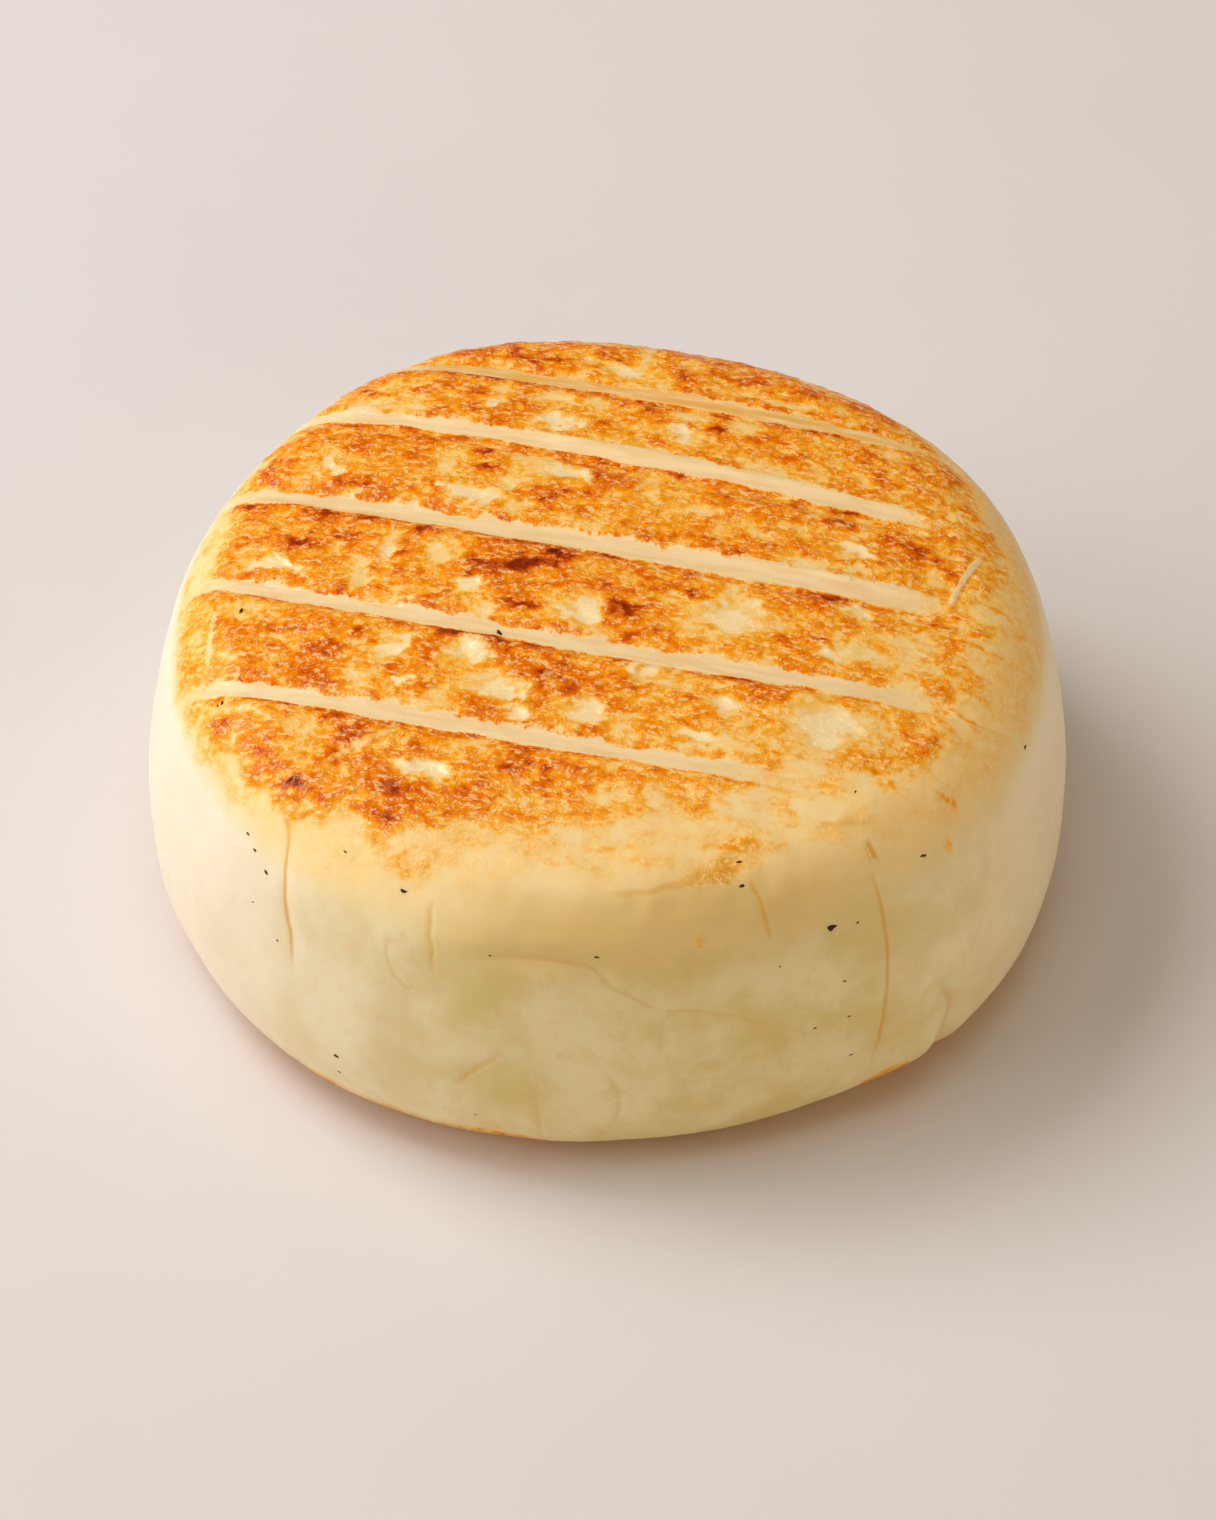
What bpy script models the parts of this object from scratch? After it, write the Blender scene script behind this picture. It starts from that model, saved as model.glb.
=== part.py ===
"""Grilled halloumi: one whole round cheese, seared on both flat faces.

Metres, +Z up. The cheese stands on its flat underside at z = 0, with the middle of its bounding
box on the Z axis. The bars of the grill left five hollows across the top, nearly along X.

It is modelled in two stages. First comes a true round wheel, whose mesh has edges along every
groove and is finer near every fold. Its points are then pressed in along the grooves and folds
and moved to where they lie in a cheese that drained unevenly in its basket.
"""

import math
from dataclasses import dataclass

import bmesh
import bpy
from mathutils import Vector, noise

MM = 0.001

# The round wheel, whose profile is three arcs that touch, under a shallow crown
GIRTH_RADIUS = 47.6 * MM
GIRTH_LEVEL = 10.0 * MM
SIDE_ARC_RADIUS = 56.0 * MM
BASE_RADIUS = 6.9 * MM
SHOULDER_RADIUS = 10.2 * MM
SHOULDER_LEVEL = 23.1 * MM
CROWN_SLOPE = math.radians(5.5)
SEGMENTS = 104
SHOULDER_STEPS = 5
SIDE_STEPS = 8
BASE_STEPS = 4

# The part of the top that is sliced into rows and columns, as far out as the grooves reach
LATTICE_RADIUS = 42.5 * MM
COLUMN_PITCH = 3.7 * MM
ROWS_IN_A_BAND = 3
WALL_RUN = 0.55 * MM

# How the outline departs from a circle: number of lobes, how far out, and where the first points
OUTLINE_LOBES = (
    (2, 0.17 * MM, 87.0),
    (3, 0.49 * MM, 116.6),
    (4, 0.47 * MM, 37.4),
    (5, 0.33 * MM, 36.6),
)

# The cheese sagged towards one side, where its shoulder is rounder as well
SAG_TOWARDS = 325.0
SAG = 1.3 * MM
ROUNDER = 0.30 * MM

# Soft unevenness, as (size of one swell, height of the swell)
CRUST_LUMPS = (5.0 * MM, 0.24 * MM)
BODY_SWELLS = (24.0 * MM, 0.35 * MM)
SIDE_RIBS = (7.0 * MM, 0.18 * MM)
RIBS_FROM = 175.0
RIBS_TO = 262.0

CHEESE_COLOUR = (0.84, 0.66, 0.33, 1.0)


def ramp(low, high, value):
    """0 below low, 1 above high, and a smooth rise between."""
    t = min(1.0, max(0.0, (value - low) / (high - low)))
    return t * t * (3.0 - 2.0 * t)


def nearest_on_segment(point, start, end):
    """Distance from a point to a segment, and how far along it the nearest place lies, 0 to 1."""
    line = end - start
    share = min(1.0, max(0.0, (point - start).dot(line) / line.length_squared))
    return (point - start - line * share).length, share


@dataclass(frozen=True)
class Groove:
    """A straight hollow that one bar of the grill pressed into the top.

    Its line passes the middle at a distance `across`, turned by `turn` degrees from +X, and runs
    from `start` to `end`, which are measured along it. A bar that was bent strays by `bow`.
    """

    across: float
    turn: float
    start: float
    end: float
    width: float
    depth: float
    bow: float = 0.0
    fade: float = 6.0 * MM

    @property
    def along(self):
        angle = math.radians(self.turn)
        return Vector((math.cos(angle), math.sin(angle), 0.0))

    @property
    def normal(self):
        return Vector((-self.along.y, self.along.x, 0.0))

    def depth_at(self, point):
        """How far the bar pressed this point of the top in."""
        off_line = abs(point.dot(self.normal) - self.across)
        on_line = point.dot(self.along)
        floor = 1.0 - ramp(self.width / 2, self.width / 2 + WALL_RUN, off_line)
        run_in = ramp(self.start - self.fade, self.start + self.fade, on_line)
        run_out = 1.0 - ramp(self.end - self.fade, self.end + self.fade, on_line)
        return self.depth * floor * run_in * run_out

    def stray_at(self, point):
        """How far a bent bar's groove lies from its straight line here, sideways."""
        off_line = point.dot(self.normal) - self.across
        on_line = point.dot(self.along) / LATTICE_RADIUS
        near = 1.0 - ramp(0.0, 12.0 * MM, abs(off_line))
        return self.normal * (self.bow * near * max(0.0, 1.0 - on_line**2))


@dataclass(frozen=True)
class Fold:
    """A fold in the skin, pressed in by `depth` along `route` and `width` across.

    It starts and ends softly, over the share `taper` of its length.
    """

    route: tuple
    width: float
    depth: float
    taper: float = 0.25

    def nearest(self, point):
        """Distance from a point to the route, and how far along it that is, 0 to 1."""
        spans = len(self.route) - 1
        nearest = (math.inf, 0.0)
        for i in range(spans):
            distance, share = nearest_on_segment(point, self.route[i], self.route[i + 1])
            nearest = min(nearest, (distance, (i + share) / spans))
        return nearest

    def depth_at(self, point):
        distance, along = self.nearest(point)
        ends = ramp(0.0, self.taper, along) * ramp(0.0, self.taper, 1.0 - along)
        return self.depth * ends * (1.0 - ramp(0.0, self.width / 2, distance))


@dataclass(frozen=True)
class Arc:
    """A round stretch of the wheel's profile: its centre's distance from the axis and height."""

    out: float
    up: float
    radius: float

    def reach_at(self, height):
        """Distance from the axis to the arc's outer side at this height."""
        return self.out + math.sqrt(max(0.0, self.radius**2 - (height - self.up) ** 2))

    def height_at(self, reach):
        """Height of the arc's upper side at this distance from the axis."""
        return self.up + math.sqrt(max(0.0, self.radius**2 - (reach - self.out) ** 2))

    def touching(self, up, radius):
        """A smaller arc that touches this one from inside, with its centre at height `up`."""
        out = self.out + math.sqrt((self.radius - radius) ** 2 - (up - self.up) ** 2)
        return Arc(out, up, radius)

    def meets(self, other):
        """Height at which a smaller arc touches this one."""
        return self.up + self.radius * (other.up - self.up) / (self.radius - other.radius)


SIDE = Arc(GIRTH_RADIUS - SIDE_ARC_RADIUS, GIRTH_LEVEL, SIDE_ARC_RADIUS)
BASE = SIDE.touching(BASE_RADIUS, BASE_RADIUS)
SHOULDER = SIDE.touching(SHOULDER_LEVEL, SHOULDER_RADIUS)
CROWN_RADIUS = SHOULDER.out + SHOULDER.radius * math.sin(CROWN_SLOPE)
CROWN_RISE = CROWN_RADIUS * math.tan(CROWN_SLOPE) / 2
HEIGHT = SHOULDER.height_at(CROWN_RADIUS) + CROWN_RISE


def arc_at(height):
    """The arc that makes up the side at this height."""
    if height < SIDE.meets(BASE):
        return BASE
    if height > SIDE.meets(SHOULDER):
        return SHOULDER
    return SIDE


def top_height(reach):
    """Height of the wheel's top at this distance from the axis."""
    if reach > CROWN_RADIUS:
        return SHOULDER.height_at(reach)
    return HEIGHT - CROWN_RISE * (reach / CROWN_RADIUS) ** 2


def drape(point):
    """The nearest place on the round wheel for a point of its rough mesh, and the way out there."""
    reach = math.hypot(point.x, point.y)
    if point.z > HEIGHT / 2 and reach < LATTICE_RADIUS:
        point = Vector((point.x, point.y, top_height(reach)))
        slope = 2 * CROWN_RISE * reach / CROWN_RADIUS**2
        way = (slope, 1.0) if reach < CROWN_RADIUS else (reach - SHOULDER.out, point.z - SHOULDER.up)
    elif reach < BASE.out:
        return point, Vector((0, 0, -1))
    else:
        arc = arc_at(point.z)
        scale = arc.reach_at(point.z) / reach
        point = Vector((point.x * scale, point.y * scale, point.z))
        reach = math.hypot(point.x, point.y)
        way = (reach - arc.out, point.z - arc.up)
    return point, Vector((point.x / reach * way[0], point.y / reach * way[0], way[1])).normalized()


def on_top(x_mm, y_mm):
    """A point of the round wheel's top."""
    x, y = x_mm * MM, y_mm * MM
    return Vector((x, y, top_height(math.hypot(x, y))))


def on_side(turn, height_mm):
    """A point of the round wheel's side, by its direction from the axis and its height."""
    angle = math.radians(turn)
    height = height_mm * MM
    reach = arc_at(height).reach_at(height)
    return Vector((reach * math.cos(angle), reach * math.sin(angle), height))


def curve_through(*points, steps=5):
    """A Catmull-Rom curve, which passes through each of the points."""
    padded = [2 * points[0] - points[1], *points, 2 * points[-1] - points[-2]]
    route = []
    for p0, p1, p2, p3 in zip(padded, padded[1:], padded[2:], padded[3:]):
        for i in range(steps):
            t = i / steps
            linear = (p2 - p0) * t
            square = (2 * p0 - 5 * p1 + 4 * p2 - p3) * t**2
            cube = (3 * p1 - p0 - 3 * p2 + p3) * t**3
            route.append((2 * p1 + linear + square + cube) / 2)
    return (*route, points[-1])


GROOVES = (
    Groove(-20.1 * MM, -13.3, -38.0 * MM, 24.0 * MM, 2.1 * MM, 0.60 * MM, bow=-2.7 * MM),
    Groove(-6.7 * MM, -13.6, -40.0 * MM, 38.0 * MM, 2.1 * MM, 0.70 * MM, bow=-3.0 * MM),
    Groove(6.4 * MM, -15.3, -41.0 * MM, 34.0 * MM, 2.5 * MM, 0.70 * MM, bow=-1.7 * MM),
    Groove(18.7 * MM, -15.9, -42.0 * MM, 27.0 * MM, 2.5 * MM, 0.65 * MM, bow=-0.9 * MM),
    Groove(29.4 * MM, -13.9, -30.0 * MM, 27.0 * MM, 2.1 * MM, 0.50 * MM, bow=0.9 * MM),
)

FOLDS = (
    # Nicks across the bands of the top
    Fold((on_top(-20.2, 8.2), on_top(-25.5, 0.2)), 2.4 * MM, 0.40 * MM),
    Fold((on_top(38.4, 7.5), on_top(33.9, -3.0)), 2.0 * MM, 0.30 * MM),
    # The two upright folds, left and right of the front
    Fold(
        curve_through(
            on_side(225.1, 30.8), on_side(228.3, 24.9), on_side(230.0, 21.6), on_side(230.8, 17.2)
        ),
        2.4 * MM,
        0.30 * MM,
    ),
    Fold(
        curve_through(
            on_side(306.0, 31.0), on_side(305.7, 21.5), on_side(304.2, 11.8), on_side(302.8, 7.4)
        ),
        2.8 * MM,
        0.40 * MM,
    ),
    # The wandering fold across the front, and the short one that drops from it
    Fold(
        curve_through(
            on_side(249.4, 26.3),
            on_side(258.2, 27.4),
            on_side(266.7, 27.2),
            on_side(270.4, 24.9),
            on_side(276.1, 22.0),
            on_side(283.3, 20.8),
            on_side(290.4, 16.8),
        ),
        3.2 * MM,
        0.40 * MM,
    ),
    Fold((on_side(276.6, 21.4), on_side(276.4, 16.7)), 2.6 * MM, 0.30 * MM),
    # Pinches down to the foot, where the cloth was gathered
    Fold(
        curve_through(on_side(311.8, 15.4), on_side(315.3, 9.7), on_side(314.6, 5), on_side(314.6, 0)),
        4.4 * MM,
        0.90 * MM,
    ),
    Fold((on_side(261.6, 12), on_side(262.3, 0)), 3.0 * MM, 0.35 * MM),
)


def wheel_profile():
    """The wheel's outline in the XZ plane, from the flat foot up to the lattice's rim."""
    foot_end = math.asin((SIDE.meets(BASE) - BASE.up) / BASE.radius)
    side_start, side_end = SIDE.meets(BASE), SIDE.meets(SHOULDER)
    shoulder_start = math.asin((side_end - SHOULDER.up) / SHOULDER.radius)
    shoulder_end = math.acos((LATTICE_RADIUS - SHOULDER.out) / SHOULDER.radius)
    points = arc_points(BASE, -math.pi / 2, foot_end, BASE_STEPS)
    for i in range(SIDE_STEPS):
        height = side_start + (side_end - side_start) * i / SIDE_STEPS
        points.append((SIDE.reach_at(height), height))
    points += arc_points(SHOULDER, shoulder_start, shoulder_end, SHOULDER_STEPS)
    rim = LATTICE_RADIUS
    return [*points, (rim, top_height(rim))]


def arc_points(arc, start, end, steps):
    """Points along an arc, from the angle `start` up to, but without, the angle `end`."""
    angles = [start + (end - start) * i / steps for i in range(steps)]
    return [
        (arc.out + arc.radius * math.cos(angle), arc.up + arc.radius * math.sin(angle))
        for angle in angles
    ]


def spin_wheel(mesh):
    """The profile turned round the Z axis, with one flat face over each end."""
    profile = [mesh.verts.new((radius, 0.0, height)) for radius, height in wheel_profile()]
    edges = [mesh.edges.new(pair) for pair in zip(profile, profile[1:])]
    bmesh.ops.spin(
        mesh,
        geom=[*profile, *edges],
        cent=(0, 0, 0),
        axis=(0, 0, 1),
        angle=math.tau,
        steps=SEGMENTS,
        use_merge=True,
    )
    rims = [edge for edge in mesh.edges if edge.is_boundary]
    bmesh.ops.holes_fill(mesh, edges=rims, sides=0)
    bmesh.ops.recalc_face_normals(mesh, faces=mesh.faces)


def row_lines():
    """Every line that slices the top along the grooves, as (distance from the middle, turn)."""
    lines = [(-LATTICE_RADIUS, GROOVES[0].turn)]
    for groove in GROOVES:
        wall = groove.width / 2 + WALL_RUN
        for offset in (-wall, -groove.width / 2, 0.0, groove.width / 2, wall):
            lines.append((groove.across + offset, groove.turn))
    lines.append((LATTICE_RADIUS, GROOVES[-1].turn))
    return lines + rows_between(lines)


def rows_between(lines):
    """Rows that fan evenly over the wide gaps between the given lines."""
    rows = []
    for (low, low_turn), (high, high_turn) in zip(lines, lines[1:]):
        if high - low < 2 * COLUMN_PITCH:
            continue
        for i in range(1, ROWS_IN_A_BAND + 1):
            share = i / (ROWS_IN_A_BAND + 1)
            rows.append((low + (high - low) * share, low_turn + (high_turn - low_turn) * share))
    return rows


def column_lines():
    """The lines that slice the top across the grooves."""
    turn = GROOVES[len(GROOVES) // 2].turn + 90.0
    count = int(LATTICE_RADIUS / COLUMN_PITCH)
    return [(i * COLUMN_PITCH, turn) for i in range(-count, count + 1)]


def slice_top(mesh):
    """Cuts the flat top face along every row and column, and nothing else."""
    for distance, turn in row_lines() + column_lines():
        angle = math.radians(turn)
        normal = Vector((-math.sin(angle), math.cos(angle), 0.0))
        faces = top_faces(mesh)
        parts = {part for face in faces for part in (face, *face.verts, *face.edges)}
        bmesh.ops.bisect_plane(
            mesh, geom=list(parts), dist=0.05 * MM, plane_co=normal * distance, plane_no=normal
        )
    rim = {vert for face in top_faces(mesh) for vert in face.verts if on_rim(vert)}
    bmesh.ops.remove_doubles(mesh, verts=list(rim), dist=0.5 * MM)


def top_faces(mesh):
    return [face for face in mesh.faces if face.normal.z > 0.999]


def on_rim(vert):
    return any(face.normal.z < 0.999 for face in vert.link_faces)


def drape_all(mesh):
    """Lays every point of the mesh on the round wheel."""
    for vert in mesh.verts:
        vert.co = drape(vert.co)[0]


def refine(mesh):
    """Quarters the coarse faces on the shoulder, then twice the faces near each fold."""
    halve_edges(mesh, [face for face in top_faces(mesh) if reaches_shoulder(face)])
    for reach in (0.9, 0.6):
        halve_edges(mesh, [face for face in mesh.faces if near_a_fold(face, reach)])


def halve_edges(mesh, faces):
    edges = {edge for face in faces for edge in face.edges}
    bmesh.ops.subdivide_edges(mesh, edges=list(edges), cuts=1, use_grid_fill=True)


def reaches_shoulder(face):
    return any(math.hypot(vert.co.x, vert.co.y) > CROWN_RADIUS + 2 * MM for vert in face.verts)


def near_a_fold(face, reach):
    """Whether any fold passes this face within `reach` of its own width."""
    middle = drape(face.calc_center_median())[0]
    return any(fold.nearest(middle)[0] < fold.width * reach for fold in FOLDS)


def swell(point, size_and_height, seed):
    """A smooth random rise or dip at this point."""
    size, height = size_and_height
    return height * noise.noise(point / size + Vector((seed, 0.0, 0.0)))


def press_depth(point, normal):
    """How far the bars, the folds and the soft lumps push this point of the wheel inwards."""
    crust = ramp(0.45, 0.85, normal.z)
    pressed = sum(groove.depth_at(point) for groove in GROOVES) * crust
    unpressed = 1.0 - min(1.0, pressed / GROOVES[0].depth)
    depth = pressed + sum(fold.depth_at(point) for fold in FOLDS)
    depth += swell(point, BODY_SWELLS, seed=3.0)
    depth += swell(point, CRUST_LUMPS, seed=11.0) * crust * unpressed
    depth += side_rib(point) * (1.0 - crust)
    depth += ROUNDER * facing(point, SAG_TOWARDS) * shoulder_share(normal)
    return depth


def facing(point, turn):
    """1 where the point lies in this direction from the axis, and -1 on the far side."""
    return math.cos(math.atan2(point.y, point.x) - math.radians(turn))


def shoulder_share(normal):
    """1 half way round the shoulder, and 0 on the top and on the side."""
    if normal.z <= 0.0:
        return 0.0
    return 4.0 * normal.z**2 * (1.0 - normal.z**2)


def side_rib(point):
    """Soft upright ribs that the basket left on one stretch of the side."""
    turn = math.degrees(math.atan2(point.y, point.x)) % 360.0
    share = ramp(RIBS_FROM, RIBS_FROM + 20.0, turn) * (1.0 - ramp(RIBS_TO - 30.0, RIBS_TO, turn))
    stretched = Vector((point.x, point.y, point.z * 0.15))
    return share * swell(stretched, SIDE_RIBS, seed=7.0)


def settled(point):
    """Where a point of the round wheel lies in the drained, uneven cheese."""
    angle = math.atan2(point.y, point.x)
    outwards = sum(
        reach * math.cos(lobes * (angle - math.radians(first)))
        for lobes, reach, first in OUTLINE_LOBES
    )
    scale = 1.0 + outwards / GIRTH_RADIUS
    share = math.hypot(point.x, point.y) / GIRTH_RADIUS
    lean = 0.5 + 0.5 * facing(point, SAG_TOWARDS)
    drop = SAG * lean * ramp(0.45, 1.0, share) * (point.z / HEIGHT) ** 2
    place = point + sum((groove.stray_at(point) for groove in GROOVES), Vector())
    return Vector((place.x * scale, place.y * scale, point.z - drop))


def press_and_settle(mesh):
    """Moves every point of the round wheel to its place in the real cheese."""
    for vert in mesh.verts:
        point, way_out = drape(vert.co)
        inwards = way_out * press_depth(point, way_out)
        inwards.z *= min(1.0, point.z / BASE.up)
        vert.co = settled(point - inwards)


def centre_on_axis(mesh):
    """Puts the middle of the bounding box on the Z axis and the foot at z = 0."""
    low = Vector([min(vert.co[i] for vert in mesh.verts) for i in range(3)])
    high = Vector([max(vert.co[i] for vert in mesh.verts) for i in range(3)])
    middle = (low + high) / 2
    bmesh.ops.translate(mesh, verts=mesh.verts, vec=(-middle.x, -middle.y, -low.z))


def cheese_material():
    material = bpy.data.materials.new("halloumi")
    material.use_nodes = True
    shader = material.node_tree.nodes["Principled BSDF"]
    shader.inputs["Base Color"].default_value = CHEESE_COLOUR
    shader.inputs["Roughness"].default_value = 0.45
    shader.inputs["Metallic"].default_value = 0.0
    return material


def build_halloumi():
    mesh = bmesh.new()
    spin_wheel(mesh)
    slice_top(mesh)
    refine(mesh)
    drape_all(mesh)
    bmesh.ops.triangulate(mesh, faces=mesh.faces)
    press_and_settle(mesh)
    centre_on_axis(mesh)
    bmesh.ops.recalc_face_normals(mesh, faces=mesh.faces)
    data = bpy.data.meshes.new("halloumi")
    mesh.to_mesh(data)
    mesh.free()
    data.shade_smooth()
    data.materials.append(cheese_material())
    halloumi = bpy.data.objects.new("halloumi", data)
    bpy.context.scene.collection.objects.link(halloumi)
    return halloumi


def main():
    for old in list(bpy.data.objects):
        bpy.data.objects.remove(old)
    build_halloumi()


if __name__ == "__main__":
    main()
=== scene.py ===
"""Grilled halloumi: the fine surface, the seared crust and the finish of one whole round cheese.

Metres, +Z up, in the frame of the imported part: the cheese stands on z = 0 with the Z axis through
its middle. Places on its top are given in millimetres from that axis, and places on its side by
their direction from the axis, in degrees from +X, and their height in millimetres.
"""

import logging
import math
from collections.abc import Callable
from dataclasses import dataclass, field
from enum import Enum
from functools import partialmethod

import bmesh
import bpy
import numpy as np
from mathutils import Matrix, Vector, noise
from mathutils.bvhtree import BVHTree


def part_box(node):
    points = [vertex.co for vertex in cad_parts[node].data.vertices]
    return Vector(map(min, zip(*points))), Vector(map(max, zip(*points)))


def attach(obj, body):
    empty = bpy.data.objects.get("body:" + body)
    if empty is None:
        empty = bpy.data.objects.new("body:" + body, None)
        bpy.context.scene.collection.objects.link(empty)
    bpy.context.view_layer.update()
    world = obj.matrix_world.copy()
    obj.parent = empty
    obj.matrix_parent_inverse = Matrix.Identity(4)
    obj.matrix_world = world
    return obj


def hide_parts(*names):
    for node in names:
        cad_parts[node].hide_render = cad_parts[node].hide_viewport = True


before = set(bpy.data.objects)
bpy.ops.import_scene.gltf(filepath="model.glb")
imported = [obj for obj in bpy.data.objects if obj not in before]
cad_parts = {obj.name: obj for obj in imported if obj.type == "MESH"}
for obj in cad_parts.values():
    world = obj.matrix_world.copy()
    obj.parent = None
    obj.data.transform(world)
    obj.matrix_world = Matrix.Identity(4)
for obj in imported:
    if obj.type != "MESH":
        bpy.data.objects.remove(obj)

Colour = tuple[int, int, int]
Points = tuple[tuple[float, float], ...]
Array = np.ndarray

MM = 0.001
NODE = "halloumi"
BODY = "root"
GRILL_TURN = -14.5
TOP_RADIUS = 42.5
ARC = 47.0 * math.pi / 180.0  # millimetres of the side for each degree

log = logging.getLogger("halloumi")


# ---- Small helpers ----


def ramp(low: float | Array, high: float | Array, value: Array) -> Array:
    """Rises smoothly from 0 to 1.

    Args:
        low: Where the rise starts.
        high: Where the rise ends.
        value: The values to rise over.

    Returns:
        0 below low, 1 above high, and a smooth rise between.
    """
    t = np.clip((value - low) / (high - low), 0.0, 1.0)
    return t * t * (3.0 - 2.0 * t)


def fade(low: float | Array, high: float | Array, value: Array) -> Array:
    """Falls smoothly from 1 below low to 0 above high."""
    return 1.0 - ramp(low, high, value)


def plateau(start: float, full: float, fading: float, end: float, value: Array) -> Array:
    """Rises smoothly from start to full, and falls again from fading to end."""
    return ramp(start, full, value) * fade(fading, end, value)


def light(colour: Colour) -> tuple[float, float, float, float]:
    """Turns a colour as seen on a screen into light.

    Args:
        colour: Red, green and blue, 0 to 255 each.

    Returns:
        The linear colour, with alpha 1.
    """
    shares = [c / 255 for c in colour]
    return (*(c / 12.92 if c <= 0.04 else ((c + 0.055) / 1.055) ** 2.4 for c in shares), 1.0)


def swell(points: Array, size: float | tuple[float, float, float], seed: float) -> Array:
    """Smooth random values.

    Args:
        points: Places in millimetres, one row each.
        size: How large one swell is, in millimetres, or its size along each axis.
        seed: Picks the pattern.

    Returns:
        One value for each place, from about -1 to 1.
    """
    scaled = points / np.asarray(size, float) + seed
    return np.array([noise.noise(Vector(p)) for p in scaled.tolist()])


def turned(x: Array, y: Array, degrees: float) -> tuple[Array, Array]:
    """Measures along and across a line.

    Args:
        x: The distances along X.
        y: The distances along Y.
        degrees: How far the line is turned from +X.

    Returns:
        The distances along the line and across it.
    """
    angle = math.radians(degrees)
    return x * math.cos(angle) + y * math.sin(angle), y * math.cos(angle) - x * math.sin(angle)


def catmull_rom(points: Array, steps: int = 6) -> Array:
    """Smooths a route.

    Args:
        points: The route's own points, one row each.
        steps: New points for each stretch.

    Returns:
        Points along a curve that passes through all of the route's own.
    """
    padded = np.vstack([2 * points[0] - points[1], points, 2 * points[-1] - points[-2]])
    t = (np.arange(steps) / steps)[:, None]
    stretches = []
    for p0, p1, p2, p3 in zip(padded, padded[1:], padded[2:], padded[3:]):
        square = (2 * p0 - 5 * p1 + 4 * p2 - p3) * t**2
        cube = (3 * p1 - p0 - 3 * p2 + p3) * t**3
        stretches.append((2 * p1 + (p2 - p0) * t + square + cube) / 2)
    return np.vstack([*stretches, points[-1]])


def distance_to_route(places: Array, route: Array) -> tuple[Array, Array]:
    """Measures how far places lie from a route.

    Args:
        places: The places, one row each.
        route: The route's points, one row each.

    Returns:
        The distance of each place, negative on the route's right, and how far along the route its
        nearest point is, 0 to 1.
    """
    nearest = np.full(len(places), np.inf)
    along = np.zeros(len(places))
    spans = len(route) - 1
    for i, (start, end) in enumerate(zip(route, route[1:])):
        line = end - start
        share = np.clip((places - start) @ line / (line @ line), 0.0, 1.0)
        away = places - start - share[:, None] * line
        gap = np.linalg.norm(away, axis=1)
        left = line[0] * away[:, 1] - line[1] * away[:, 0] >= 0.0
        closer = gap < np.abs(nearest)
        nearest = np.where(closer, np.where(left, gap, -gap), nearest)
        along = np.where(closer, (i + share) / spans, along)
    return nearest, along


# ---- What the grill and the cloth left on the cheese ----


class Tone(Enum):
    """How far a patch of crust is seared, from bare cheese to char."""

    POOL = 0.0
    PALE = 0.10
    GOLDEN = 0.30
    ORANGE = 0.44
    BROWN = 0.57
    DARK = 0.69
    CHARRED = 0.80


POOL, PALE, GOLDEN, ORANGE, BROWN, DARK, CHARRED = Tone


@dataclass(frozen=True)
class Patch:
    """A patch of crust, in millimetres: its middle, length, breadth, tone and turn in degrees."""

    x: float
    y: float
    length: float
    breadth: float
    tone: Tone
    turn: float = GRILL_TURN
    end: float = 1.6

    def share(self, flat: Array) -> Array:
        """How fully each place lies in the patch.

        Args:
            flat: Places in the patch's plane, in millimetres, already strayed by the crust's unrest.

        Returns:
            1 well inside, 0 outside, and a soft edge between.
        """
        along, across = turned(flat[:, 0] - self.x, flat[:, 1] - self.y, self.turn)
        soft, end = (0.0, 1.8) if self.tone is Tone.POOL else (0.2, self.end)
        return fade(soft, end, np.hypot(along / (self.length / 2), across / (self.breadth / 2)))


@dataclass(frozen=True)
class Bar:
    """The mark of one bar of the grill: a pale hollow that crosses the top.

    Its line passes the axis at a distance `across`, turned by `turn` degrees from +X, and strays by
    `bow` in its middle. It runs from `start` to `end` along the line. All in millimetres.
    """

    across: float
    turn: float
    bow: float
    start: float
    end: float
    width: float
    tan: float = 0.0

    def mark(self, flat: Array) -> Array:
        """How the bar marked the top.

        Args:
            flat: Places on the top, x and y in millimetres.

        Returns:
            Four rows: the distance from the mark's middle line in half-widths, negative towards the
            front, the mark's strength, the share of the line burnt along its edge, and how tan it is.
        """
        along, off = turned(flat[:, 0], flat[:, 1], self.turn)
        off = off - self.across - self.bow * np.maximum(0.0, 1.0 - (along / TOP_RADIUS) ** 2)
        wander = swell(np.stack([along, 0 * along, 0 * along], axis=1), 5.0, 10.0 * self.across)
        off = off / (self.width / 2 * (1.0 + 0.45 * wander))
        strength = plateau(self.start - 4, self.start + 4, self.end - 9, self.end + 4, along)
        burnt = plateau(self.start, self.start + 3, self.end - 30, self.end - 2, along)
        return np.stack([off, strength, burnt, np.full(len(flat), self.tan)])


@dataclass(frozen=True)
class Nick:
    """A narrow pale mark across the crust, along a route of (x, y) points, in millimetres."""

    route: Points
    width: float
    strength: float

    def mark(self, flat: Array) -> Array:
        """How the nick marked the top.

        Args:
            flat: Places on the top, x and y in millimetres.

        Returns:
            The same four rows as a bar's.
        """
        gap, along = distance_to_route(flat, catmull_rom(np.array(self.route)))
        strength = self.strength * plateau(0.0, 0.25, 0.75, 1.0, along)
        return np.stack([np.abs(gap) / (self.width / 2), strength, 0 * gap, 0 * gap])


@dataclass(frozen=True)
class Crease:
    """A fine fold in the skin of the side, along a route of (direction, height) points.

    `width` and `depth` are in millimetres, and `gold` is how far the fat in it shows yellow.
    """

    route: Points
    width: float
    depth: float
    gold: float

    def drawn(self) -> Array:
        """The smooth route on the unrolled side, in millimetres."""
        return catmull_rom(np.array(self.route) * (ARC, 1.0))


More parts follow.
